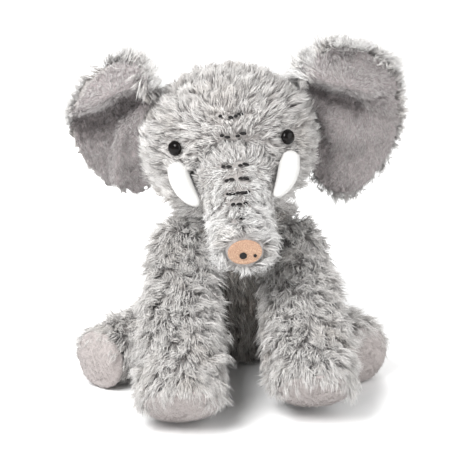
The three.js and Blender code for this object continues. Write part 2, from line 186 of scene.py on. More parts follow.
def makeStrandGroup():
    colours = [("Root", "NodeSocketColor", (0.2, 0.19, 0.19, 1)), ("Body", "NodeSocketColor", (0.5, 0.48, 0.47, 1)),
               ("Tip", "NodeSocketColor", (0.8, 0.79, 0.78, 1)), ("Stain", "NodeSocketColor", (0.5, 0.45, 0.4, 1)),
               ("Deep", "NodeSocketColor", (0.82, 0.81, 0.81, 1))]
    group, inside, outside = newGroup("strandTint", colours, [("Color", "NodeSocketColor")])
    tree = group
    mark = tree.nodes.new("ShaderNodeAttribute")
    mark.attribute_name = "strand"
    parts = tree.nodes.new("ShaderNodeSeparateColor")
    tree.links.new(mark.outputs["Color"], parts.inputs["Color"])
    along, lock, tuft = parts.outputs["Red"], parts.outputs["Green"], parts.outputs["Blue"]
    coords = tree.nodes.new("ShaderNodeTexCoord").outputs["Object"]
    patches = noise(tree, 26, 3, coords)
    lower = mixColour(tree, ramp(tree, along, 0.0, 0.45), inside.outputs["Root"], inside.outputs["Body"])
    whole = mixColour(tree, ramp(tree, along, 0.4, 1.0), lower, inside.outputs["Tip"])
    stain = mixColour(tree, 0.3, whole, inside.outputs["Stain"])
    stained = mixColour(tree, ramp(tree, patches, 0.5, 0.75), whole, stain)
    # locks with a high tone are multiplied by Deep; where a pile is given a shade this paints shade and light
    deep = mixColour(tree, 1.0, stained, inside.outputs["Deep"], "MULTIPLY")
    dark = mixColour(tree, ramp(tree, lock, 0.55, 1.0), stained, deep)
    lightened = mixColour(tree, ramp(tree, tuft, 0.6, 1.0), dark, mixColour(tree, 0.25, dark, (1, 1, 1, 1)))
    tree.links.new(lightened, outside.inputs["Color"])
    return group


def makeFeltGroup():
    inputs = [("Base", "NodeSocketColor", (0.8, 0.8, 0.8, 1)), ("Shade", "NodeSocketColor", (0.6, 0.6, 0.6, 1)),
              ("Fibre", "NodeSocketFloat", 900.0)]
    outputs = [("Color", "NodeSocketColor"), ("Height", "NodeSocketFloat")]
    group, inside, outside = newGroup("feltWeave", inputs, outputs)
    coords = group.nodes.new("ShaderNodeTexCoord").outputs["Object"]
    fine = group.nodes.new("ShaderNodeTexNoise")
    fine.inputs["Detail"].default_value = 6
    group.links.new(coords, fine.inputs["Vector"])
    group.links.new(inside.outputs["Fibre"], fine.inputs["Scale"])
    broad = noise(group, 60, 2, coords)
    fibres = ramp(group, fine.outputs["Fac"], 0.35, 0.65)
    colour = mixColour(group, fibres, inside.outputs["Shade"], inside.outputs["Base"])
    shaded = mixColour(group, 0.35, colour, inside.outputs["Shade"])
    colour = mixColour(group, ramp(group, broad, 0.4, 0.8), colour, shaded)
    group.links.new(colour, outside.inputs["Color"])
    group.links.new(fine.outputs["Fac"], outside.inputs["Height"])
    return group


strandTint = makeStrandGroup()
feltWeave = makeFeltGroup()


def newMaterial(name, rough, sheen=0.0, sheenTint=(1, 1, 1, 1)):
    material = bpy.data.materials.new(name)
    material.use_nodes = True
    shader = material.node_tree.nodes["Principled BSDF"]
    shader.inputs["Roughness"].default_value = rough
    shader.inputs["Sheen Weight"].default_value = sheen
    shader.inputs["Sheen Roughness"].default_value = 0.5
    shader.inputs["Sheen Tint"].default_value = sheenTint
    return material, material.node_tree, shader


def pileMaterial(name, root, body, tip, stain, deep=(0.82, 0.81, 0.81)):
    material, tree, shader = newMaterial(name, 0.75, 0.25)
    shader.inputs["Specular IOR Level"].default_value = 0.2
    tint = tree.nodes.new("ShaderNodeGroup")
    tint.node_tree = strandTint
    for label, colour in (("Root", root), ("Body", body), ("Tip", tip), ("Stain", stain), ("Deep", deep)):
        tint.inputs[label].default_value = (*colour, 1)
    tree.links.new(tint.outputs["Color"], shader.inputs["Base Color"])
    return material


def feltMaterial(name, base, shade, fibre, rough, bump, sheen=0.2):
    material, tree, shader = newMaterial(name, rough, sheen)
    felt = tree.nodes.new("ShaderNodeGroup")
    felt.node_tree = feltWeave
    felt.inputs["Base"].default_value = (*base, 1)
    felt.inputs["Shade"].default_value = (*shade, 1)
    felt.inputs["Fibre"].default_value = fibre
    tree.links.new(felt.outputs["Color"], shader.inputs["Base Color"])
    relief = tree.nodes.new("ShaderNodeBump")
    relief.inputs["Strength"].default_value = bump
    relief.inputs["Distance"].default_value = 0.0006
    tree.links.new(felt.outputs["Height"], relief.inputs["Height"])
    tree.links.new(relief.outputs["Normal"], shader.inputs["Normal"])
    return material


# colours from a strand's root to its tip, then the stain and the tone of the deeper locks
greyPile = pileMaterial("grey_pile", (0.25, 0.237, 0.228), (0.5, 0.48, 0.465), (0.82, 0.805, 0.785),
                        (0.5, 0.43, 0.36))
palePile = pileMaterial("pale_pile", (0.34, 0.325, 0.315), (0.62, 0.61, 0.6), (0.93, 0.925, 0.91),
                        (0.62, 0.57, 0.52))
# painted shade: a darker copy of the grey pile, painted for the shade on the chest under the head
paintedShadePile = pileMaterial("painted_shade_pile", (0.11, 0.098, 0.085), (0.26, 0.235, 0.21), (0.5, 0.475, 0.44),
                         (0.24, 0.2, 0.155))
# velour: its deep tone carries the painted shade in the ear's folds, and its pale tips are partly the nap's own
# colour, partly a painted highlight for the glints on the nap
velourPile = pileMaterial("velour_pile", (0.17, 0.152, 0.151), (0.33, 0.303, 0.3), (0.76, 0.73, 0.725),
                          (0.3, 0.265, 0.255), (0.36, 0.335, 0.335))
solePile = pileMaterial("sole_pile", (0.34, 0.305, 0.3), (0.45, 0.405, 0.395), (0.57, 0.52, 0.51),
                        (0.44, 0.38, 0.36))
greyCloth = feltMaterial("grey_backing", (0.33, 0.31, 0.3), (0.23, 0.215, 0.205), 500, 0.95, 0.4)
velourCloth = feltMaterial("velour_backing", (0.27, 0.24, 0.24), (0.2, 0.175, 0.175), 700, 0.95, 0.5)
soleCloth = feltMaterial("sole_backing", (0.42, 0.38, 0.37), (0.34, 0.305, 0.295), 700, 0.95, 0.5)
whiteFelt = feltMaterial("white_felt_cloth", (0.6, 0.595, 0.58), (0.52, 0.515, 0.5), 1500, 0.5, 0.3, 0.3)
peachFelt = feltMaterial("peach_felt_cloth", (0.47, 0.315, 0.215), (0.3, 0.17, 0.11), 1300, 0.85, 0.9)
beanCloth = feltMaterial("bean_cloth", (0.7, 0.62, 0.5), (0.55, 0.48, 0.38), 900, 0.9, 0.5)
darkThread = feltMaterial("dark_thread", (0.006, 0.005, 0.005), (0.003, 0.0025, 0.0025), 2500, 0.9, 0.6, 0.0)
washerPlastic = feltMaterial("washer_plastic", (0.8, 0.8, 0.78), (0.74, 0.74, 0.72), 400, 0.45, 0.1, 0.0)


def eyeMaterial():
    material, tree, shader = newMaterial("eye_gloss", 0.08)
    shader.inputs["Specular IOR Level"].default_value = 0.1
    shader.inputs["Coat Weight"].default_value = 0.12
    shader.inputs["Coat Roughness"].default_value = 0.03
    coords = tree.nodes.new("ShaderNodeTexCoord").outputs["Object"]
    clouds = ramp(tree, noise(tree, 220, 2, coords), 0.45, 0.8)
    tint = mixColour(tree, clouds, (0.003, 0.0025, 0.0025, 1), (0.009, 0.005, 0.003, 1))
    tree.links.new(tint, shader.inputs["Base Color"])
    return material


eyeGloss = eyeMaterial()
print("materials ready")


# sewn covers: the filled shapes, puffed by cloth pressure
sewing = {"voxel": 5.0, "pressure": 4.0, "frames": 20, "cap": 2.2}


def pointsOf(piece):
    points = np.empty(len(piece.data.vertices) * 3)
    piece.data.vertices.foreach_get("co", points)
    return points.reshape(-1, 3)


def setPoints(piece, points):
    piece.data.vertices.foreach_set("co", points.ravel())
    piece.data.update()


def normalsOf(piece):
    normals = np.empty(len(piece.data.vertices) * 3)
    piece.data.vertex_normals.foreach_get("vector", normals)
    return normals.reshape(-1, 3)


def unit(vectors):
    return vectors / np.maximum(np.linalg.norm(vectors, axis=1, keepdims=True), 1e-9)


def across(vectors, normals):
    return unit(vectors - normals * (vectors * normals).sum(axis=1, keepdims=True))


def middleOf(node):
    low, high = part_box(node)
    return (np.array(low) + np.array(high)) / 2


def jointAt(name):
    return np.array(next(j for j in frame["joints"] if j["name"] == name)["pos_m"])


def copyNode(node, name):
    bpy.ops.object.select_all(action="DESELECT")
    piece = bpy.data.objects.new(name, frame["nodes"][node].data.copy())
    bpy.context.scene.collection.objects.link(piece)
    piece.data.materials.clear()
    edit = bmesh.new()
    edit.from_mesh(piece.data)
    bmesh.ops.remove_doubles(edit, verts=edit.verts, dist=1e-6)
    edit.to_mesh(piece.data)
    edit.free()
    bpy.context.view_layer.objects.active = piece
    piece.select_set(True)
    return piece


def applyModifier(piece, kind, **values):
    bpy.context.view_layer.objects.active = piece
    modifier = piece.modifiers.new(kind.lower(), kind)
    for key, value in values.items():
        setattr(modifier, key, value)
    bpy.ops.object.modifier_apply(modifier=modifier.name)


def puffWithCloth(piece, pressure, cap):
    before = pointsOf(piece)
    scene = bpy.context.scene
    cloth = piece.modifiers.new("cloth", "CLOTH")
    cloth.settings.use_pressure = True
    cloth.settings.uniform_pressure_force = pressure
    cloth.settings.quality = 5
    cloth.settings.mass = 0.3
    cloth.settings.tension_stiffness = 15
    cloth.settings.bending_stiffness = 0.5
    cloth.settings.effector_weights.gravity = 0
    cloth.collision_settings.use_collision = False
    cloth.point_cache.frame_start = 1
    cloth.point_cache.frame_end = sewing["frames"]
    for step in range(1, sewing["frames"] + 1):
        scene.frame_set(step)
    bpy.context.view_layer.objects.active = piece
    bpy.ops.object.modifier_apply(modifier=cloth.name)
    scene.frame_set(1)
    move = pointsOf(piece) - before
    size = np.linalg.norm(move, axis=1, keepdims=True)
    setPoints(piece, before + move * np.minimum(1, cap * mm / np.maximum(size, 1e-9)))


def sewCover(name, node, body, cloth, replaced, grow=1.0, voxel=None, lowest=0.6, shape=None):
    piece = copyNode(node, name)
    applyModifier(piece, "REMESH", mode="VOXEL", voxel_size=(voxel or sewing["voxel"]) * mm)
    applyModifier(piece, "SMOOTH", factor=0.5, iterations=3)
    puffWithCloth(piece, sewing["pressure"], sewing["cap"])
    points = pointsOf(piece) + normalsOf(piece) * grow * mm
    if shape:
        points = shape(points)
    points[:, 2] = np.maximum(points[:, 2], lowest * mm)
    setPoints(piece, points)
    applyModifier(piece, "SUBSURF", levels=1, render_levels=1)
    bpy.ops.object.shade_smooth()
    piece.data.materials.append(cloth)
    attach(piece, body)
    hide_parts(*replaced)
    print("cover", name, len(piece.data.polygons))
    return piece


# dark thread: short gathered stitches that the pile is kept clear of
thread = {"clear": 2.7, "tilt": 0.34}
clearSpots = []


def makeDash(length, radius):
    bpy.ops.object.select_all(action="DESELECT")
    bpy.ops.mesh.primitive_uv_sphere_add(segments=10, ring_count=8, radius=1)
    dash = bpy.context.object
    points = pointsOf(dash)
    bow = 0.35 * radius * (1 - points[:, 2] ** 2)
    flat = np.stack([points[:, 2] * length / 2, points[:, 0] * radius, points[:, 1] * radius + bow], axis=1)
    setPoints(dash, flat * mm)
    bpy.ops.object.mode_set(mode="EDIT")
    bpy.ops.mesh.select_all(action="SELECT")
    bpy.ops.mesh.normals_make_consistent(inside=False)
    bpy.ops.object.mode_set(mode="OBJECT")
    bpy.ops.object.shade_smooth()
    return dash


def sewRow(name, node, body, cover, count, length, radius, lift, skipped=(), clear=None):
    source = pointsOf(frame["nodes"][node])
    way = np.linalg.svd(source - source.mean(axis=0), full_matrices=False)[2][0]
    way = way * (np.sign(way[0]) or 1)
    along = (source - source.mean(axis=0)) @ way
    dashes = []
    pattern = makeDash(length, radius)
    rng = np.random.default_rng(len(source))
    for k in range(count):
        if k in skipped:
            continue
        mark = along.min() + (along.max() - along.min()) * (k + 0.5) / count
        near = source[np.argsort(np.abs(along - mark))[:14]].mean(axis=0)
        spot, normal = cover.closest_point_on_mesh(Vector(near))[1:3]
        x = Vector(way) - normal * Vector(way).dot(normal)
        lean = rng.uniform(-thread["tilt"], thread["tilt"])
        x = (x.normalized() + normal.cross(x).normalized() * lean).normalized()
        y = normal.cross(x).normalized()
        centre = np.array(spot + normal * lift * mm)
        dash = pattern.copy()
        dash.data = pattern.data.copy()
        bpy.context.scene.collection.objects.link(dash)
        local = pointsOf(dash)
        local[:, 0] *= rng.uniform(0.7, 1.25)
        turned = local @ np.array([x, y, x.cross(y).normalized()])
        setPoints(dash, centre + turned)
        dashes.append(dash)
        for step in (-0.4, 0, 0.4):
            clearSpots.append((centre + np.array(x) * step * length * mm, (clear or thread["clear"]) * mm))
    bpy.data.objects.remove(pattern)
    bpy.ops.object.select_all(action="DESELECT")
    for dash in dashes:
        dash.select_set(True)
    bpy.context.view_layer.objects.active = dashes[0]
    bpy.ops.object.join()
    row = bpy.context.object
    row.name = name
    row.data.materials.clear()
    row.data.materials.append(darkThread)
    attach(row, body)
    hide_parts(node)
    return row


# pile: closed tapered strands set over a cover
def samplePlaces(piece, perSquare, rng):
    mesh = piece.data
    mesh.calc_loop_triangles()
    tris = np.empty(len(mesh.loop_triangles) * 3, dtype=np.int64)
    mesh.loop_triangles.foreach_get("vertices", tris)
    tris = tris.reshape(-1, 3)
    points, normals = pointsOf(piece), normalsOf(piece)
    a, b, c = points[tris[:, 0]], points[tris[:, 1]], points[tris[:, 2]]
    area = np.linalg.norm(np.cross(b - a, c - a), axis=1) / 2
    count = int(area.sum() / mm ** 2 * perSquare)
    pick = rng.choice(len(tris), size=count, p=area / area.sum())
    u, v = rng.random(count), rng.random(count)
    over = u + v > 1
    u[over], v[over] = 1 - u[over], 1 - v[over]
    share = np.stack([1 - u - v, u, v], axis=1)[:, :, None]
    corner = tris[pick]
    return (points[corner] * share).sum(axis=1), unit((normals[corner] * share).sum(axis=1))


# a smooth random direction that depends only on the place
def sway(points, scale, seed):
    rng = np.random.default_rng(seed)
    waves = rng.normal(size=(7, 3)) / (scale * mm)
    phase = points @ waves.T
    turns = rng.random((3, 7)) * 6.28
    return np.stack([np.sin(phase + turns[k]).sum(axis=1) / 2.65 for k in range(3)], axis=1)


# a strand is a closed spike, or two joined rings and a tip when it has a middle
def buildStrands(roots, mids, tips, widths, tones):
    count = len(roots)
    rng = np.random.default_rng(count)
    way = unit(tips - roots)
    sideA = across(rng.normal(size=(count, 3)), way)
    sideB = np.cross(way, sideA)
    bent = mids is not None
    rings = []
    for centre, size in ((roots, 1.0), (mids, 0.8))[: 2 if bent else 1]:
        for k in range(3):
            angle = 2.0944 * k
            rings.append(centre + (sideA * math.cos(angle) + sideB * math.sin(angle)) * widths[:, None] * size)
    rings.append(tips)
    size = len(rings)
    points = np.stack(rings, axis=1).reshape(-1, 3)
    one = [(0, 2, 1)]
    for k in range(3):
        n = (k + 1) % 3
        one += [(k, n, 3 + n), (k, 3 + n, 3 + k), (3 + k, 3 + n, 6)] if bent else [(k, n, 3)]
    faces = (np.arange(count)[:, None, None] * size + np.array(one)[None]).reshape(-1, 3)
    along = np.array([0, 0, 0, 0.5, 0.5, 0.5, 1.0] if bent else [0, 0, 0, 1.0])
    colour = np.ones((count, size, 4))
    colour[:, :, 0] = along[None]
    colour[:, :, 1] = tones[:, None, 0]
    colour[:, :, 2] = tones[:, None, 1]
    return points, faces, colour.reshape(-1, 4)


def addPileMesh(name, sets, material, body):
    points, faces, colours, base = [], [], [], 0
    for one in sets:
        points.append(one[0])
        faces.append(one[1] + base)
        colours.append(one[2])
        base += len(one[0])
    points, faces, colours = np.concatenate(points), np.concatenate(faces), np.concatenate(colours)
    mesh = bpy.data.meshes.new(name)
    mesh.vertices.add(len(points))
    mesh.vertices.foreach_set("co", points.ravel())
    mesh.loops.add(faces.size)
    mesh.loops.foreach_set("vertex_index", faces.ravel().astype(np.int32))
    mesh.polygons.add(len(faces))
    mesh.polygons.foreach_set("loop_start", np.arange(len(faces), dtype=np.int32) * 3)
    mesh.polygons.foreach_set("use_smooth", np.ones(len(faces), dtype=bool))
    mesh.update()
    strand = mesh.color_attributes.new("strand", "FLOAT_COLOR", "POINT")
    strand.data.foreach_set("color", colours.ravel())
    mesh.materials.append(material)
    piece = bpy.data.objects.new(name, mesh)
    bpy.context.scene.collection.objects.link(piece)
    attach(piece, body)


strandFaces = {"straight": 4, "bent": 10, "most": 195000}  # the most goes in one piece
lowest = 0.5 * mm  # nothing hangs below this


def growPile(name, cover, body, pile, comb, keep=None, trim=None, clear=True, shade=None):
    rng = np.random.default_rng(pile["seed"])
    roots, normals = samplePlaces(cover, pile["density"], rng)
    if keep is not None:
        kept = keep(roots, normals, rng)
        roots, normals = roots[kept], normals[kept]
    count = len(roots)
    tousle = sway(roots, pile["swirl"], pile["seed"]) * pile["unruly"]
    tousle = tousle + sway(roots, pile["swirl"] / 3.5, 5) * pile["unruly"] * 0.6
    flow = across(unit(comb(roots, normals)) + tousle, normals)
    lockCount = max(1, int(count / pile["perLock"]))
    centres = rng.choice(count, lockCount, replace=False)
    tree = kdtree.KDTree(lockCount)
    for i, c in enumerate(centres):
        tree.insert(roots[c], i)
    tree.balance()
    lock = np.array([tree.find(p)[1] for p in roots])
    lockWay = rng.normal(size=(lockCount, 3)) * pile["lockSpread"]
    lockTone, lockLong = rng.random(lockCount), rng.uniform(0.75, 1.2, lockCount)
    lockPull = rng.uniform(0.5, 1.15, lockCount)[lock, None] * pile["clump"]
    lift = pile["lift"]
    length = pile["length"] * mm * lockLong[lock] * rng.uniform(0.7, 1.15, count)
    if trim is not None:
        length = length * trim(roots)
    wild = rng.normal(size=(count, 3)) * pile["frizz"]
    down = np.array([0, 0, -pile["droop"]])
    way = unit(flow * (1 - lift) + normals * lift + lockWay[lock] + wild + down)
    way = unit(way + normals * np.maximum(0.1 - (way * normals).sum(axis=1, keepdims=True), 0))
    tips = roots + way * length[:, None]
    heartWay = unit(flow[centres] * (1 - lift) + normals[centres] * lift + lockWay + down)[lock]
    lockTips = roots[centres][lock] + heartWay * length[:, None]
    pull = np.clip(lockPull * rng.uniform(0.55, 1.0, count)[:, None], 0, 0.92)
    tips = tips * (1 - pull) + lockTips * pull
    curl = across(rng.normal(size=(lockCount, 3))[lock], way) * length[:, None] * pile["curl"]
    mids = roots * 0.5 + tips * 0.5 + normals * length[:, None] * pile["arch"] + curl
    if clear and clearSpots:
        kept = np.ones(count, dtype=bool)
        for spot, reach in clearSpots:
            for end, share in ((tips, 1), (mids, 1), ((tips + mids) / 2, 1), (roots, 0.8)):
                kept &= np.linalg.norm(end - spot, axis=1) > reach * share
        roots, normals, mids, tips, lock = roots[kept], normals[kept], mids[kept], tips[kept], lock[kept]
        count = len(roots)
    reach = tips - roots
    room = np.where(reach > 0, roomHigh - roots, roomLow - roots) / np.where(np.abs(reach) < 1e-7, 1e-7, reach)
    short = np.clip(room.min(axis=1), 0.1, 1)[:, None]
    tips, mids = roots + reach * short, roots + (mids - roots) * short
    tips[:, 2] = np.maximum(tips[:, 2], lowest)
    mids[:, 2] = np.maximum(mids[:, 2], lowest + 0.3 * mm)
    roots = roots - normals * 0.4 * mm
    roots[:, 2] = np.maximum(roots[:, 2], lowest)
    widths = pile["width"] * mm * rng.uniform(0.7, 1.25, count)
    tones = np.stack([lockTone[lock], rng.random(count)], axis=1)
    # a shade shifts the lock tone to paint light or shade: above 0 is painted shade, below 0 painted light
    if shade is not None:
        tones[:, 0] = np.clip(0.5 + shade(roots) + (tones[:, 0] - 0.5) * 0.6, 0, 1)
    straight = rng.random(count) < pile["straight"]
    order = np.argsort(straight, kind="stable")
    cost = np.where(straight[order], strandFaces["straight"], strandFaces["bent"])
    part = np.cumsum(cost) // strandFaces["most"]
    for i in range(int(part.max()) + 1):
        sets = []
        for kind in (False, True):
            chosen = order[(part == i) & (straight[order] == kind)]
            if len(chosen):
                middle = None if kind else mids[chosen]
                thin = widths[chosen] * (0.8 if kind else 1)
                sets.append(buildStrands(roots[chosen], middle, tips[chosen], thin, tones[chosen]))
        label = name if part.max() == 0 else f"{name}_{i + 1}"
        addPileMesh(label, sets, pile["material"], body)
    print("pile", name, count, int(cost.sum()))


# the space that pile may fill: past the frame's box by a little, more on the fuller ear's side and on top
roomLow = np.array(cadBox[0]) - np.array([7.0, 8.4, 0]) * mm
roomHigh = np.array(cadBox[1]) + np.array([10.2, 8.4, 17.2]) * mm

# strands per square mm, lengths and widths in mm, the rest as shares of a strand's own length
longPile = {"density": 1.0, "length": 15.5, "lift": 0.38, "clump": 0.6, "perLock": 26, "lockSpread": 0.2,
            "frizz": 0.15, "droop": 0.1, "arch": 0.12, "curl": 0.08, "width": 0.33, "swirl": 15, "unruly": 0.34,
            "straight": 0.4, "seed": 3, "material": greyPile, "slot": "fur"}
shortPile = {**longPile, "density": 2.8, "length": 4.4, "lift": 0.36, "clump": 0.25, "perLock": 14,
             "width": 0.18, "curl": 0.0, "arch": 0.1, "droop": 0.02, "frizz": 0.16, "lockSpread": 0.16,
             "straight": 1.0, "swirl": 20, "unruly": 0.4,
             "material": velourPile, "slot": "velour"}

# head
noseRoot = jointAt("trunk_raise")
headMiddle = middleOf("head_cover")
tipMiddle = middleOf("trunk_tip_patch")
trunkWay = (tipMiddle - noseRoot) / np.linalg.norm(tipMiddle - noseRoot)
headCover = sewCover("head_skin", "head_stuffing", "head", greyCloth, ["head_cover", "head_stuffing"], grow=1.6)
for side in ("left", "right"):
    eyeMiddle = middleOf(f"{side}_eye")
    outward = unit((eyeMiddle - headMiddle)[None])[0]
    for step in (3, 6, 9):
        clearSpots.append((eyeMiddle + outward * step * mm, 5.4 * mm))
sewRow("brow_row_1", "brow_stitch_1", "head", headCover, 5, 4.8, 1.2, 2.3, skipped=(1,))
sewRow("brow_row_2", "brow_stitch_2", "head", headCover, 5, 5.2, 1.25, 2.3, skipped=(2,))


def combHead(points, normals):
    return points - noseRoot - np.array([0, 0.01, 0])


def keepHead(points, normals, rng):
    inside = np.linalg.norm(points - noseRoot, axis=1) < 0.026
    under = np.linalg.norm(points - jointAt("neck_nod"), axis=1) < 0.026
    return ~(inside | under)


def trimHead(points):
    upToBrow, browSize = np.array([0, 0, 0.03]), np.array([0.045, 0.06, 0.05])
    far = np.linalg.norm((points - noseRoot - upToBrow) / browSize, axis=1)
    eyes = np.minimum(*[np.linalg.norm(points - middleOf(f"{side}_eye"), axis=1) for side in ("left", "right")])
    jaw = 1 + 0.4 * np.clip((headMiddle[2] - 0.02 - points[:, 2]) / 0.02, 0, 1)
    return np.clip(0.5 + 0.5 * far, 0.5, 1.0) * np.clip(0.45 + (eyes - 0.006) / 0.022, 0.45, 1.0) * jaw


headPile = {**longPile, "length": 12.2, "density": 1.15, "seed": 11, "lift": 0.36, "clump": 0.56,
            "unruly": 0.34, "lockSpread": 0.19, "perLock": 30, "width": 0.29}
growPile("head_pile", headCover, "head", headPile, combHead, keepHead, trim=trimHead)

# trunk
trunkCover = sewCover("trunk_skin", "trunk_stuffing", "trunk", greyCloth, ["trunk_cover", "trunk_stuffing"],
                      grow=1.8, voxel=3.5)
clearSpots.clear()
for row, (count, skipped) in enumerate(((5, (2,)), (4, ()), (5, ()), (3, ()))):
    sewRow(f"trunk_row_{row + 1}", f"trunk_stitch_{row + 1}", "trunk", trunkCover, count, 5.2, 1.15, 2.1,
           skipped, 2.5)
sewRow("trunk_seam_row", "trunk_seam", "trunk", trunkCover, 10, 1.5, 0.55, 2.0, (), 1.4)


def combTrunk(points, normals):
    along = (points - noseRoot) @ trunkWay
    side = points[:, 0] - (noseRoot[0] + along * trunkWay[0])
    aside = np.clip(side / 0.006, -1, 1)
    spread = np.stack([aside, np.zeros(len(points)), np.full(len(points), -0.25)], axis=1)
    onward = np.clip((along - 0.002) / 0.03, -0.9, 0.8)[:, None]
    fromTip = np.linalg.norm(points - tipMiddle, axis=1)
    flare = unit(points - tipMiddle) * np.clip(1.2 - fromTip / 0.022, 0, 1.2)[:, None]
    back = np.clip((0.012 - along) / 0.008, 0, 1)[:, None]  # at its root the nap turns up onto the brow
    radial = unit(points - noseRoot - np.outer(along, trunkWay))
    return (spread + trunkWay * onward) * (1 - back) + (radial * 0.5 - trunkWay) * back + flare * 1.5


def trimTrunk(points):
    along = (points - noseRoot) @ trunkWay
    aside = np.abs(points[:, 0] - noseRoot[0] - along * trunkWay[0])
    tuft = np.clip((along - 0.035) / 0.02, 0, 1) * np.clip((aside - 0.008) / 0.006, 0, 1)
    onBrow = np.clip((0.008 - along) / 0.008, 0, 1)
    return np.clip(0.62 + 0.5 * along / 0.07, 0.62, 1.15) + 0.5 * onBrow + 0.45 * tuft


def keepTrunk(points, normals, rng):
    behind = ((points - noseRoot) @ trunkWay) < -0.012
    local = (points - tipMiddle) / np.array([0.0135, 1, 0.0108])
    onPatch = (np.hypot(local[:, 0], local[:, 2]) < 1.0) & (points[:, 1] < tipMiddle[1] + 0.006)
    return ~(behind | onPatch)


# the paler pile starts gradually below the brow
def keepPart(pale):
    def keep(points, normals, rng):
        along = (points - noseRoot) @ trunkWay
        paler = rng.random(len(points)) < np.clip((along + 0.002) / 0.026, 0, 1)
        return keepTrunk(points, normals, rng) & (paler == pale)
    return keep


trunkPile = {**longPile, "length": 10, "density": 1.5, "seed": 21, "droop": 0.05, "lift": 0.34, "clump": 0.4,
             "width": 0.28, "unruly": 0.3, "lockSpread": 0.2}
growPile("trunk_pile", trunkCover, "trunk", {**trunkPile, "material": palePile}, combTrunk, keepPart(True),
         trim=trimTrunk)
growPile("trunk_root_pile", trunkCover, "trunk", trunkPile, combTrunk, keepPart(False), trim=trimTrunk)
clearSpots.clear()


# torso and neck
def combDown(points, normals):
    return np.tile(np.array([0, 0, -1.0]), (len(points), 1)) + normals * 0.2


def shoulders(points):
    side = np.clip((np.abs(points[:, 0]) - 0.02) / 0.018, 0, 1)
    high = np.clip((points[:, 2] - 0.1) / 0.022, 0, 1)
    moved = points.copy()
    moved[:, 2] += side * high * 0.012
    moved[:, 0] += np.sign(points[:, 0]) * high * side * 0.003
    return moved


torsoCover = sewCover("torso_skin", "torso_stuffing", "torso", greyCloth, ["torso_cover", "torso_stuffing"],
                      grow=1.8, lowest=0.0, shape=shoulders)


def keepTorso(front):
    def keep(points, normals, rng):
        chest = normals[:, 1] + rng.normal(0, 0.15, len(points)) < -0.25
        clear = (points[:, 2] > 0.005) & (np.linalg.norm(points - jointAt("neck_nod"), axis=1) > 0.026)
        return clear & (chest == front)
    return keep


growPile("torso_pile", torsoCover, "torso", {**longPile, "density": 0.85, "seed": 31}, combDown, keepTorso(False))
# the front-facing chest pile carries painted shade, painted darker still towards the bottom where the belly lies in
# shadow
growPile("chest_pile", torsoCover, "torso", {**longPile, "seed": 32, "material": paintedShadePile}, combDown,
         keepTorso(True), shade=lambda p: np.clip((0.1 - p[:, 2]) / 0.05, 0, 1) * 0.55)
collarPile = {**longPile, "seed": 33, "length": 17, "lift": 0.6, "density": 1.0, "droop": 0.0}
growPile("collar_pile", torsoCover, "torso", collarPile,
         lambda p, n: (p - jointAt("neck_nod")) * [1, 0.6, 0] + [0, 0, 0.004],
         lambda p, n, r: (p[:, 2] > 0.118) & (np.abs(p[:, 0]) > 0.02) & (n[:, 2] > 0))
neckCover = sewCover("neck_skin", "neck_stuffing", "neck", greyCloth, ["neck_cover", "neck_stuffing"], voxel=3.5)
neckPile = {**longPile, "density": 0.8, "length": 13, "seed": 41, "lift": 0.6}
growPile("neck_pile", neckCover, "neck", neckPile, combDown)


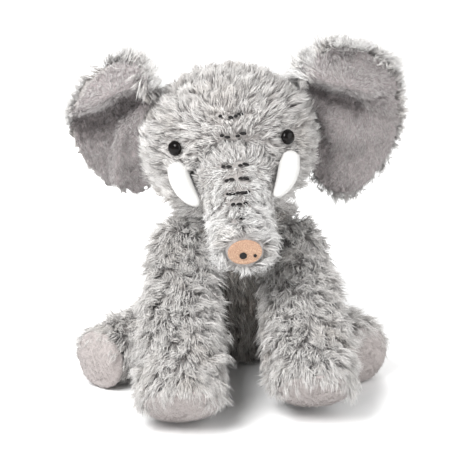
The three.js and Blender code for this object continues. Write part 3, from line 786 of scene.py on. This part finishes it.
# legs
def growLeg(side, which, joint, pile):
    body = f"{side}_{which}"
    cover = sewCover(f"{body}_skin", f"{body}_stuffing", body, greyCloth,
                     [f"{body}_cover", f"{body}_stuffing"])
    root, sole = jointAt(joint), middleOf(f"{body}_sole_pad")
    way = (sole - root) / np.linalg.norm(sole - root)
    padPoints = pointsOf(frame["nodes"][f"{body}_sole_pad"])
    flatWay = np.linalg.svd(padPoints - padPoints.mean(axis=0), full_matrices=False)[2][2]
    flatWay = flatWay * np.sign(flatWay @ way)
    edge = ((padPoints - sole) @ flatWay).min()

    def comb(points, normals):
        return np.tile(way + np.array([0, 0, -0.3]), (len(points), 1))

    def keep(points, normals, rng):
        past = (points - sole) @ flatWay > edge - 0.0015
        return ~(past & (normals @ flatWay > 0.5)) & (points[:, 2] > 0.003)

    def trim(points):
        toe = np.clip(((points - sole) @ flatWay - edge + 0.03) / 0.02, 0, 1)
        return 1 - toe * (1 - np.clip((points[:, 2] - 0.008) / 0.02, 0.15, 1))

    # painted light: the forelegs' pile is painted lighter for the light falling on them, the hind legs' only a
    # little
    def paintedLegLight(points):
        return np.full(len(points), -0.16 if which == "foreleg" else -0.04)

    growPile(f"{body}_pile", cover, body, pile, comb, keep, trim=trim, shade=paintedLegLight)

    def nearRim(points, normals, rng):
        depth = (points - sole) @ flatWay
        overRim = (normals @ flatWay < 0.8) & (normals[:, 2] > 0.3)
        return (depth > edge - 0.012) & overRim & (points[:, 2] > 0.015)

    def fold(points, normals):
        return np.tile(flatWay * 0.5 + way * 0.4 + np.array([0, 0, -0.8]), (len(points), 1))

    hemPile = {**pile, "seed": pile["seed"] + 2, "length": 14, "lift": 0.36, "droop": 0.38, "arch": 0.2,
               "density": 1.6, "straight": 0.15}
    growPile(f"{body}_hem_pile", cover, body, hemPile, fold, nearRim, trim=trim)

    def dome(points):
        depth = (points - sole) @ flatWay
        reach = np.linalg.norm(points - sole - np.outer(depth, flatWay), axis=1)
        inward = sole + np.outer(depth, flatWay) - points
        rise = np.clip(1 - (reach / 0.03) ** 2, 0, 1) * np.clip(depth / 0.002 + 0.5, 0, 1)
        return points + np.outer(rise * 4.5 * mm, flatWay) + inward * 0.04

    pad = sewCover(f"{body}_sole", f"{body}_sole_pad", body, soleCloth, [f"{body}_sole_pad"], grow=0.3,
                   voxel=1.8, lowest=0.3, shape=dome)
    padPile = {**shortPile, "seed": pile["seed"] + 1, "length": 2.0, "density": 2.0, "material": solePile}
    growPile(f"{body}_sole_pile", pad, body, padPile, comb, lambda p, n, r: n @ flatWay > 0.0)


growLeg("left", "foreleg", "left_foreleg_raise", {**longPile, "seed": 51})
growLeg("right", "foreleg", "right_foreleg_raise", {**longPile, "seed": 61})
growLeg("left", "hindleg", "left_hindleg_spread", {**longPile, "seed": 71, "density": 0.85})
growLeg("right", "hindleg", "right_hindleg_spread", {**longPile, "seed": 81, "density": 0.85})

# ears: each fold is a ridge along a line, or a valley when its rise is below 0
# places are across and up in mm, and a fold has its own width on either side of its line
earFolds = {
    "right": [
        {"line": [(-122, 213), (-111, 217), (-90, 228), (-64, 236)], "above": 14, "below": 3.0, "rise": 12.5},
        {"line": [(-76, 212), (-89, 197), (-94, 181), (-95, 160)], "above": 8, "below": 3.0, "rise": 8.5},
        {"line": [(-122, 206), (-104, 207), (-88, 214)], "above": 8, "below": 13, "rise": -12},
    ],
    "left": [
        {"line": [(50, 240), (72, 232), (99, 225)], "above": 9, "below": 3.0, "rise": 12},
        {"line": [(52, 232), (72, 222), (94, 214)], "above": 5, "below": 8, "rise": -11},
        {"line": [(60, 257), (54, 246), (48, 236)], "above": 3, "below": 3, "rise": -6},
        {"line": [(76, 252), (86, 250)], "above": 7, "below": 7, "rise": -7},
        {"line": [(70, 262), (84, 259), (97, 257), (112, 246)], "above": 5, "below": 3, "rise": 4},
        {"line": [(56, 212), (62, 195), (72, 174)], "above": 7, "below": 8, "rise": -6},
        {"line": [(84, 200), (92, 190)], "above": 11, "below": 11, "rise": 4},
    ],
}


# the soft edge stands out a little from the hinge, across and up
earFullness = {"right": {"hinge": (-56, 204), "full": (1.03, 1.06)},
               "left": {"hinge": (54, 198), "full": (1.07, 1.06)}}


def foldEar(side, tones=False):
    def shape(points):
        rise = np.zeros(len(points))
        flat = points[:, [0, 2]] / mm
        for fold in earFolds[side]:
            best, offset, fade = np.full(len(points), 1e9), np.zeros(len(points)), np.zeros(len(points))
            line = np.array(fold["line"], dtype=float)
            for a, b in zip(line[:-1], line[1:]):
                way = (b - a) / np.linalg.norm(b - a)
                along = (flat - a) @ way
                clamped = np.clip(along, 0, np.linalg.norm(b - a))
                away = np.linalg.norm(flat - a - np.outer(clamped, way), axis=1)
                sign = np.sign((flat - a) @ np.array([-way[1], way[0]]))
                closer = away < best
                best[closer], offset[closer] = away[closer], (away * sign)[closer]
            width = np.where(offset > 0, fold["above"], fold["below"])
            rise += fold["rise"] * np.exp(-(offset / width) ** 2)
        # with tones the rise is handed back for the lining's painted shade
        if tones:
            return rise
        moved = points.copy()
        moved[:, 1] -= rise * mm
        hinge, full = earFullness[side]["hinge"], earFullness[side]["full"]
        moved[:, [0, 2]] = np.array(hinge) * mm + (moved[:, [0, 2]] - np.array(hinge) * mm) * full
        return moved
    return shape


def growEar(side, seed):
    body = f"{side}_ear"
    back = sewCover(f"{body}_back_skin", f"{body}_back", body, greyCloth, [f"{body}_back"], -0.6, 1.8,
                    shape=foldEar(side))
    lining = sewCover(f"{body}_lining_skin", f"{body}_lining", body, velourCloth, [f"{body}_lining"], -0.4, 1.6,
                      shape=foldEar(side))
    low, high = (np.array(v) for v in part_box(f"{body}_back"))
    centre, half = (low + high) / 2, (high - low) / 2
    sign = 1 if side == "left" else -1
    inner = centre[0] - sign * half[0]

    def outward(points, normals):
        return (points - centre) * np.array([1, 0.2, 1]) / half[0] + np.array([0, 0, -0.15])

    def rimShare(points):
        return np.hypot(*((points - centre)[:, [0, 2]] / half[[0, 2]]).T)

    def bareEdge(points):  # the right ear's lower lobe shows its lining up to the edge
        return (points[:, 2] < centre[2] - half[2] * 0.1) & (side == "right")

    def byJaw(points):
        return (np.abs(points[:, 0] - inner) < 0.014) & (points[:, 2] < centre[2] - half[2] * 0.5)

    def keepBack(points, normals, rng):
        rim = rimShare(points)
        inBare = (normals[:, 1] > 0.5) & (rim < 0.84)
        inFull = (normals[:, 1] > 0.05) | (rim > 0.9)
        return np.where(bareEdge(points), inBare, inFull) & ~byJaw(points)

    def keepRim(points, normals, rng):
        onRim = (rimShare(points) > 0.86) & (normals[:, 1] > -0.7)
        return onRim & ~bareEdge(points) & ~byJaw(points)

    def trimRim(points):
        high = np.clip((points[:, 2] - centre[2]) / half[2] / 0.7, 0, 1)
        shortest = 0.3 if side == "right" else 0.55
        return 1 - (1 - shortest) * (1 - high) * np.clip((rimShare(points) - 0.6) / 0.25, 0, 1)

    def paintedFoldShade(points):  # painted shade in the valleys and painted light on the ridges, plus random patches of nap
        return -foldEar(side, True)(points) / 11 + sway(points, 11, 9)[:, 0] * 0.3 - 0.16

    backPile = {**longPile, "seed": seed, "density": 0.8, "length": 12, "droop": 0.0}
    growPile(f"{body}_back_pile", back, body, backPile, outward, keepBack, trim=trimRim)
    rimPile = {**longPile, "seed": seed + 5, "density": 2.2, "length": 19, "droop": 0.0, "lift": 0.12,
               "width": 0.2, "clump": 0.2, "lockSpread": 0.14, "unruly": 0.2, "material": palePile}
    growPile(f"{body}_rim_pile", back, body, rimPile, outward, keepRim, trim=trimRim)
    growPile(f"{body}_lining_pile", lining, body, {**shortPile, "seed": seed + 1},
             lambda p, n: outward(p, n) + [0, 0, -0.5], lambda p, n, r: n[:, 1] < -0.1, shade=paintedFoldShade)

    def nearRoot(points, normals, rng):
        reach, start = (0.016, 0.5) if side == "right" else (0.01, 0.55)
        byHead = np.abs(points[:, 0] - inner) < reach
        return byHead & (points[:, 2] > centre[2] + half[2] * start) & (normals[:, 1] < -0.1)

    rootPile = {**longPile, "seed": seed + 2, "density": 1.4, "length": 13, "lift": 0.5}
    growPile(f"{body}_root_pile", lining, body, rootPile,
             lambda p, n: np.tile([sign * 0.35, -0.2, -0.9], (len(p), 1)), nearRoot)


growEar("left", 91)
growEar("right", 101)


# tail
def combTail(points, normals):
    return np.tile(np.array([0, 0.35, -1.0]), (len(points), 1))


tailCover = sewCover("tail_skin", "tail_cord", "tail", greyCloth, ["tail_cord"], grow=-1.0, voxel=1.5)
tailPile = {**longPile, "length": 7, "density": 1.2, "seed": 111}
growPile("tail_pile", tailCover, "tail", tailPile, combTail)
tuftCover = sewCover("tuft_skin", "tail_tuft", "tail", greyCloth, ["tail_tuft"], grow=-1.5, voxel=1.5)
tuftPile = {**longPile, "length": 11, "density": 2.0, "seed": 112, "lift": 0.2}
growPile("tuft_pile", tuftCover, "tail", tuftPile, combTail)


# inner pieces keep their own shape
def dress(node, material):
    piece = frame["nodes"][node]
    piece.data.materials.clear()
    piece.data.materials.append(material)


for side in ("left", "right"):
    dress(f"{side}_eye_washer", washerPlastic)
    dress(f"{side}_nostril", darkThread)
dress("seat_bean_bag", beanCloth)


def smoothPiece(name, node, body, material, voxel, puff=0.0, rounds=6, curve=0.0):
    piece = copyNode(node, name)
    applyModifier(piece, "REMESH", mode="VOXEL", voxel_size=voxel * mm)
    applyModifier(piece, "SMOOTH", factor=0.5, iterations=rounds)
    points = pointsOf(piece) + normalsOf(piece) * puff * mm
    lowered = (points[:, 2].max() - points[:, 2]) / (points[:, 2].max() - points[:, 2].min())
    points[:, 0] -= (lowered ** 2 - 0.2) * curve * mm
    setPoints(piece, points)
    bpy.ops.object.shade_smooth()
    piece.data.materials.append(material)
    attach(piece, body)
    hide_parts(node)
    return piece


for side in ("left", "right"):
    tusk = smoothPiece(f"{side}_tusk_felt", f"{side}_tusk", "head", whiteFelt, 1.0, 0.3,
                       curve=3.5 if side == "left" else -1.5)
    smoothPiece(f"{side}_eye_dome", f"{side}_eye", "head", eyeGloss, 0.4, 0.1)
smoothPiece("trunk_tip_felt", "trunk_tip_patch", "trunk", peachFelt, 0.7, -0.2)
